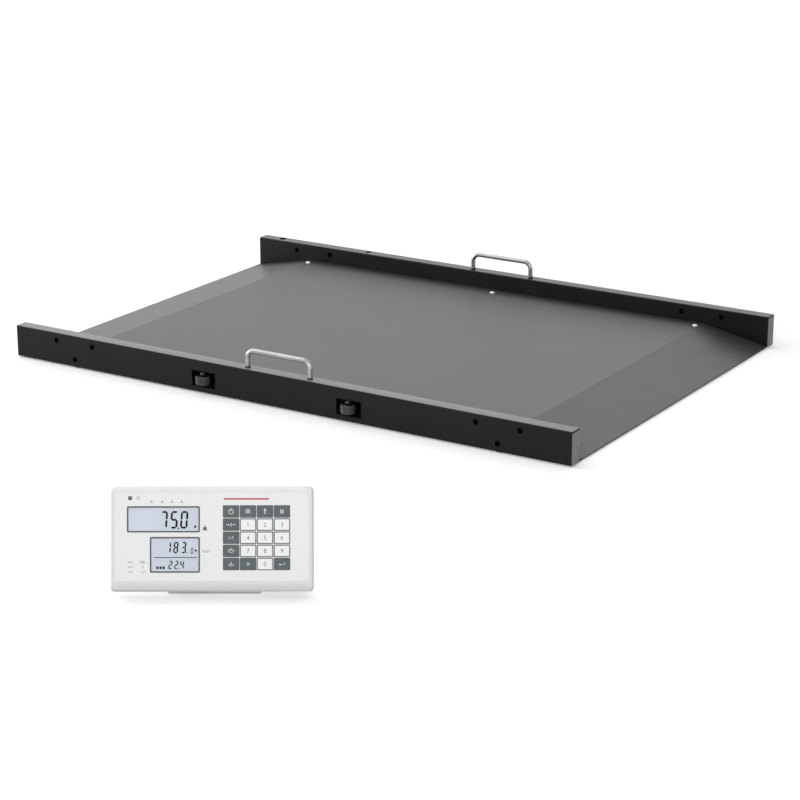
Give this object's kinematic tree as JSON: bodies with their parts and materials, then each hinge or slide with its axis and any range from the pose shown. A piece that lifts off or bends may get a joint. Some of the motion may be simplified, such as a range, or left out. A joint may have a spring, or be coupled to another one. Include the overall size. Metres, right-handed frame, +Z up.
{
  "type": "platform scale",
  "caption": "Low floor scale with ramped deck between raised side rails, with carry handles, transport wheels and levelling feet, and a separate keypad indicator on a tilting stand.",
  "frame": {"origin": "middle of the footprint of the platform and its indicator together, on the floor", "axes": "+X along the rails, from the left ramp to the right ramp; +Y across the deck, from the indicator's side to the far rail; +Z up"},
  "size_m": [1.2, 1.6944, 0.1604],
  "materials": {
    "black_paint": "satin black powder coat",
    "white_paint": "satin white powder coat",
    "deck_paint": "matt dark grey textured coat",
    "bare_steel": "brushed stainless steel",
    "cell_aluminium": "clear anodised",
    "foot_rubber": "grey rubber",
    "wheel_rubber": "grey tread",
    "black_plastic": "fine matt texture",
    "white_plastic": "satin moulded white",
    "label_film": "satin printed film",
    "dark_key": "satin dark grey film",
    "light_key": "satin white film with a dark edge",
    "display_glass": "glossy display window",
    "circuit_board": "green solder mask",
    "pack_wrap": "shrink sleeve"
  },
  "bodies": {
    "platform": {"near_rail": "black_paint", "far_rail": "black_paint", "stand_bracket": "white_paint", "deck_frame": "black_paint", "left_wheel_fork": "black_paint", "right_wheel_fork": "black_paint", "deck_plate": "deck_paint", "deck_screw_1": "bare_steel", "deck_screw_2": "bare_steel", "deck_screw_3": "bare_steel", "deck_screw_4": "bare_steel", "deck_screw_5": "bare_steel", "deck_screw_6": "bare_steel", "near_handle": "bare_steel", "load_cell_near_left": "cell_aluminium", "load_cell_near_right": "cell_aluminium", "far_handle": "bare_steel", "load_cell_far_left": "cell_aluminium", "load_cell_far_right": "cell_aluminium", "left_wheel_axle": "bare_steel", "right_wheel_axle": "bare_steel", "junction_box": "black_plastic", "signal_socket": "black_plastic"},
    "display_head": {"front_housing": "white_plastic", "rear_housing": "white_plastic", "front_label": "label_film", "weight_display": "display_glass", "height_display": "display_glass", "main_board": "circuit_board", "battery_pack": "pack_wrap", "display_socket": "black_plastic"},
    "foot_near_left": {"foot_near_left": "foot_rubber"},
    "foot_near_right": {"foot_near_right": "foot_rubber"},
    "foot_far_left": {"foot_far_left": "foot_rubber"},
    "foot_far_right": {"foot_far_right": "foot_rubber"},
    "left_wheel": {"left_wheel": "wheel_rubber"},
    "right_wheel": {"right_wheel": "wheel_rubber"},
    "left_knob": {"left_knob": "black_plastic"},
    "right_knob": {"right_knob": "black_plastic"},
    "battery_cover": {"battery_cover": "white_plastic"},
    "key_power": {"key_power": "dark_key"},
    "key_printer": {"key_printer": "dark_key"},
    "key_body_index": {"key_body_index": "dark_key"},
    "key_hold": {"key_hold": "dark_key"},
    "key_zero": {"key_zero": "dark_key"},
    "key_1": {"key_1": "light_key"},
    "key_2": {"key_2": "light_key"},
    "key_3": {"key_3": "light_key"},
    "key_memory": {"key_memory": "dark_key"},
    "key_4": {"key_4": "light_key"},
    "key_5": {"key_5": "light_key"},
    "key_6": {"key_6": "light_key"},
    "key_preset": {"key_preset": "dark_key"},
    "key_7": {"key_7": "light_key"},
    "key_8": {"key_8": "light_key"},
    "key_9": {"key_9": "light_key"},
    "key_tare": {"key_tare": "dark_key"},
    "key_clear": {"key_clear": "dark_key"},
    "key_0": {"key_0": "light_key"},
    "key_enter": {"key_enter": "dark_key"}
  },
  "joints": [
    {"name": "foot_near_left_thread", "type": "slide", "parent": "platform", "child": "foot_near_left", "axis": [0, 0, -1], "range_m": [0, 0.006]},
    {"name": "foot_near_right_thread", "type": "slide", "parent": "platform", "child": "foot_near_right", "axis": [0, 0, -1], "range_m": [0, 0.006]},
    {"name": "foot_far_left_thread", "type": "slide", "parent": "platform", "child": "foot_far_left", "axis": [0, 0, -1], "range_m": [0, 0.006]},
    {"name": "foot_far_right_thread", "type": "slide", "parent": "platform", "child": "foot_far_right", "axis": [0, 0, -1], "range_m": [0, 0.006]},
    {"name": "left_wheel_turn", "type": "hinge", "parent": "platform", "child": "left_wheel", "pos_m": [-0.1575, 0.00424, 0.0275], "axis": [0, 0, 1], "continuous": true},
    {"name": "right_wheel_turn", "type": "hinge", "parent": "platform", "child": "right_wheel", "pos_m": [0.1575, 0.00424, 0.0275], "axis": [0, 0, 1], "continuous": true},
    {"name": "display_tilt", "type": "hinge", "parent": "platform", "child": "display_head", "pos_m": [0.3965, -0.71396, 0.054], "axis": [0.848, 0.5299, 0], "range_deg": [-25, 8]},
    {"name": "left_knob_turn", "type": "hinge", "parent": "display_head", "child": "left_knob", "pos_m": [0.33341, -0.75338, 0.054], "axis": [-0.848, -0.5299, 0], "range_deg": [0, 270]},
    {"name": "right_knob_turn", "type": "hinge", "parent": "display_head", "child": "right_knob", "pos_m": [0.45959, -0.67453, 0.054], "axis": [0.848, 0.5299, 0], "range_deg": [0, 270]},
    {"name": "battery_cover_pull", "type": "slide", "parent": "display_head", "child": "battery_cover", "axis": [-0.5037, 0.8061, -0.3107], "range_m": [0, 0.015]},
    {"name": "key_power_press", "type": "slide", "parent": "display_head", "child": "key_power", "axis": [-0.5037, 0.8061, -0.3107], "range_m": [0, 0.0005], "stiffness_N_per_m": 1500, "springref_m": -0.0005},
    {"name": "key_printer_press", "type": "slide", "parent": "display_head", "child": "key_printer", "axis": [-0.5037, 0.8061, -0.3107], "range_m": [0, 0.0005], "stiffness_N_per_m": 1500, "springref_m": -0.0005},
    {"name": "key_body_index_press", "type": "slide", "parent": "display_head", "child": "key_body_index", "axis": [-0.5037, 0.8061, -0.3107], "range_m": [0, 0.0005], "stiffness_N_per_m": 1500, "springref_m": -0.0005},
    {"name": "key_hold_press", "type": "slide", "parent": "display_head", "child": "key_hold", "axis": [-0.5037, 0.8061, -0.3107], "range_m": [0, 0.0005], "stiffness_N_per_m": 1500, "springref_m": -0.0005},
    {"name": "key_zero_press", "type": "slide", "parent": "display_head", "child": "key_zero", "axis": [-0.5037, 0.8061, -0.3107], "range_m": [0, 0.0005], "stiffness_N_per_m": 1500, "springref_m": -0.0005},
    {"name": "key_1_press", "type": "slide", "parent": "display_head", "child": "key_1", "axis": [-0.5037, 0.8061, -0.3107], "range_m": [0, 0.0005], "stiffness_N_per_m": 1500, "springref_m": -0.0005},
    {"name": "key_2_press", "type": "slide", "parent": "display_head", "child": "key_2", "axis": [-0.5037, 0.8061, -0.3107], "range_m": [0, 0.0005], "stiffness_N_per_m": 1500, "springref_m": -0.0005},
    {"name": "key_3_press", "type": "slide", "parent": "display_head", "child": "key_3", "axis": [-0.5037, 0.8061, -0.3107], "range_m": [0, 0.0005], "stiffness_N_per_m": 1500, "springref_m": -0.0005},
    {"name": "key_memory_press", "type": "slide", "parent": "display_head", "child": "key_memory", "axis": [-0.5037, 0.8061, -0.3107], "range_m": [0, 0.0005], "stiffness_N_per_m": 1500, "springref_m": -0.0005},
    {"name": "key_4_press", "type": "slide", "parent": "display_head", "child": "key_4", "axis": [-0.5037, 0.8061, -0.3107], "range_m": [0, 0.0005], "stiffness_N_per_m": 1500, "springref_m": -0.0005},
    {"name": "key_5_press", "type": "slide", "parent": "display_head", "child": "key_5", "axis": [-0.5037, 0.8061, -0.3107], "range_m": [0, 0.0005], "stiffness_N_per_m": 1500, "springref_m": -0.0005},
    {"name": "key_6_press", "type": "slide", "parent": "display_head", "child": "key_6", "axis": [-0.5037, 0.8061, -0.3107], "range_m": [0, 0.0005], "stiffness_N_per_m": 1500, "springref_m": -0.0005},
    {"name": "key_preset_press", "type": "slide", "parent": "display_head", "child": "key_preset", "axis": [-0.5037, 0.8061, -0.3107], "range_m": [0, 0.0005], "stiffness_N_per_m": 1500, "springref_m": -0.0005},
    {"name": "key_7_press", "type": "slide", "parent": "display_head", "child": "key_7", "axis": [-0.5037, 0.8061, -0.3107], "range_m": [0, 0.0005], "stiffness_N_per_m": 1500, "springref_m": -0.0005},
    {"name": "key_8_press", "type": "slide", "parent": "display_head", "child": "key_8", "axis": [-0.5037, 0.8061, -0.3107], "range_m": [0, 0.0005], "stiffness_N_per_m": 1500, "springref_m": -0.0005},
    {"name": "key_9_press", "type": "slide", "parent": "display_head", "child": "key_9", "axis": [-0.5037, 0.8061, -0.3107], "range_m": [0, 0.0005], "stiffness_N_per_m": 1500, "springref_m": -0.0005},
    {"name": "key_tare_press", "type": "slide", "parent": "display_head", "child": "key_tare", "axis": [-0.5037, 0.8061, -0.3107], "range_m": [0, 0.0005], "stiffness_N_per_m": 1500, "springref_m": -0.0005},
    {"name": "key_clear_press", "type": "slide", "parent": "display_head", "child": "key_clear", "axis": [-0.5037, 0.8061, -0.3107], "range_m": [0, 0.0005], "stiffness_N_per_m": 1500, "springref_m": -0.0005},
    {"name": "key_0_press", "type": "slide", "parent": "display_head", "child": "key_0", "axis": [-0.5037, 0.8061, -0.3107], "range_m": [0, 0.0005], "stiffness_N_per_m": 1500, "springref_m": -0.0005},
    {"name": "key_enter_press", "type": "slide", "parent": "display_head", "child": "key_enter", "axis": [-0.5037, 0.8061, -0.3107], "range_m": [0, 0.0005], "stiffness_N_per_m": 1500, "springref_m": -0.0005}
  ]
}
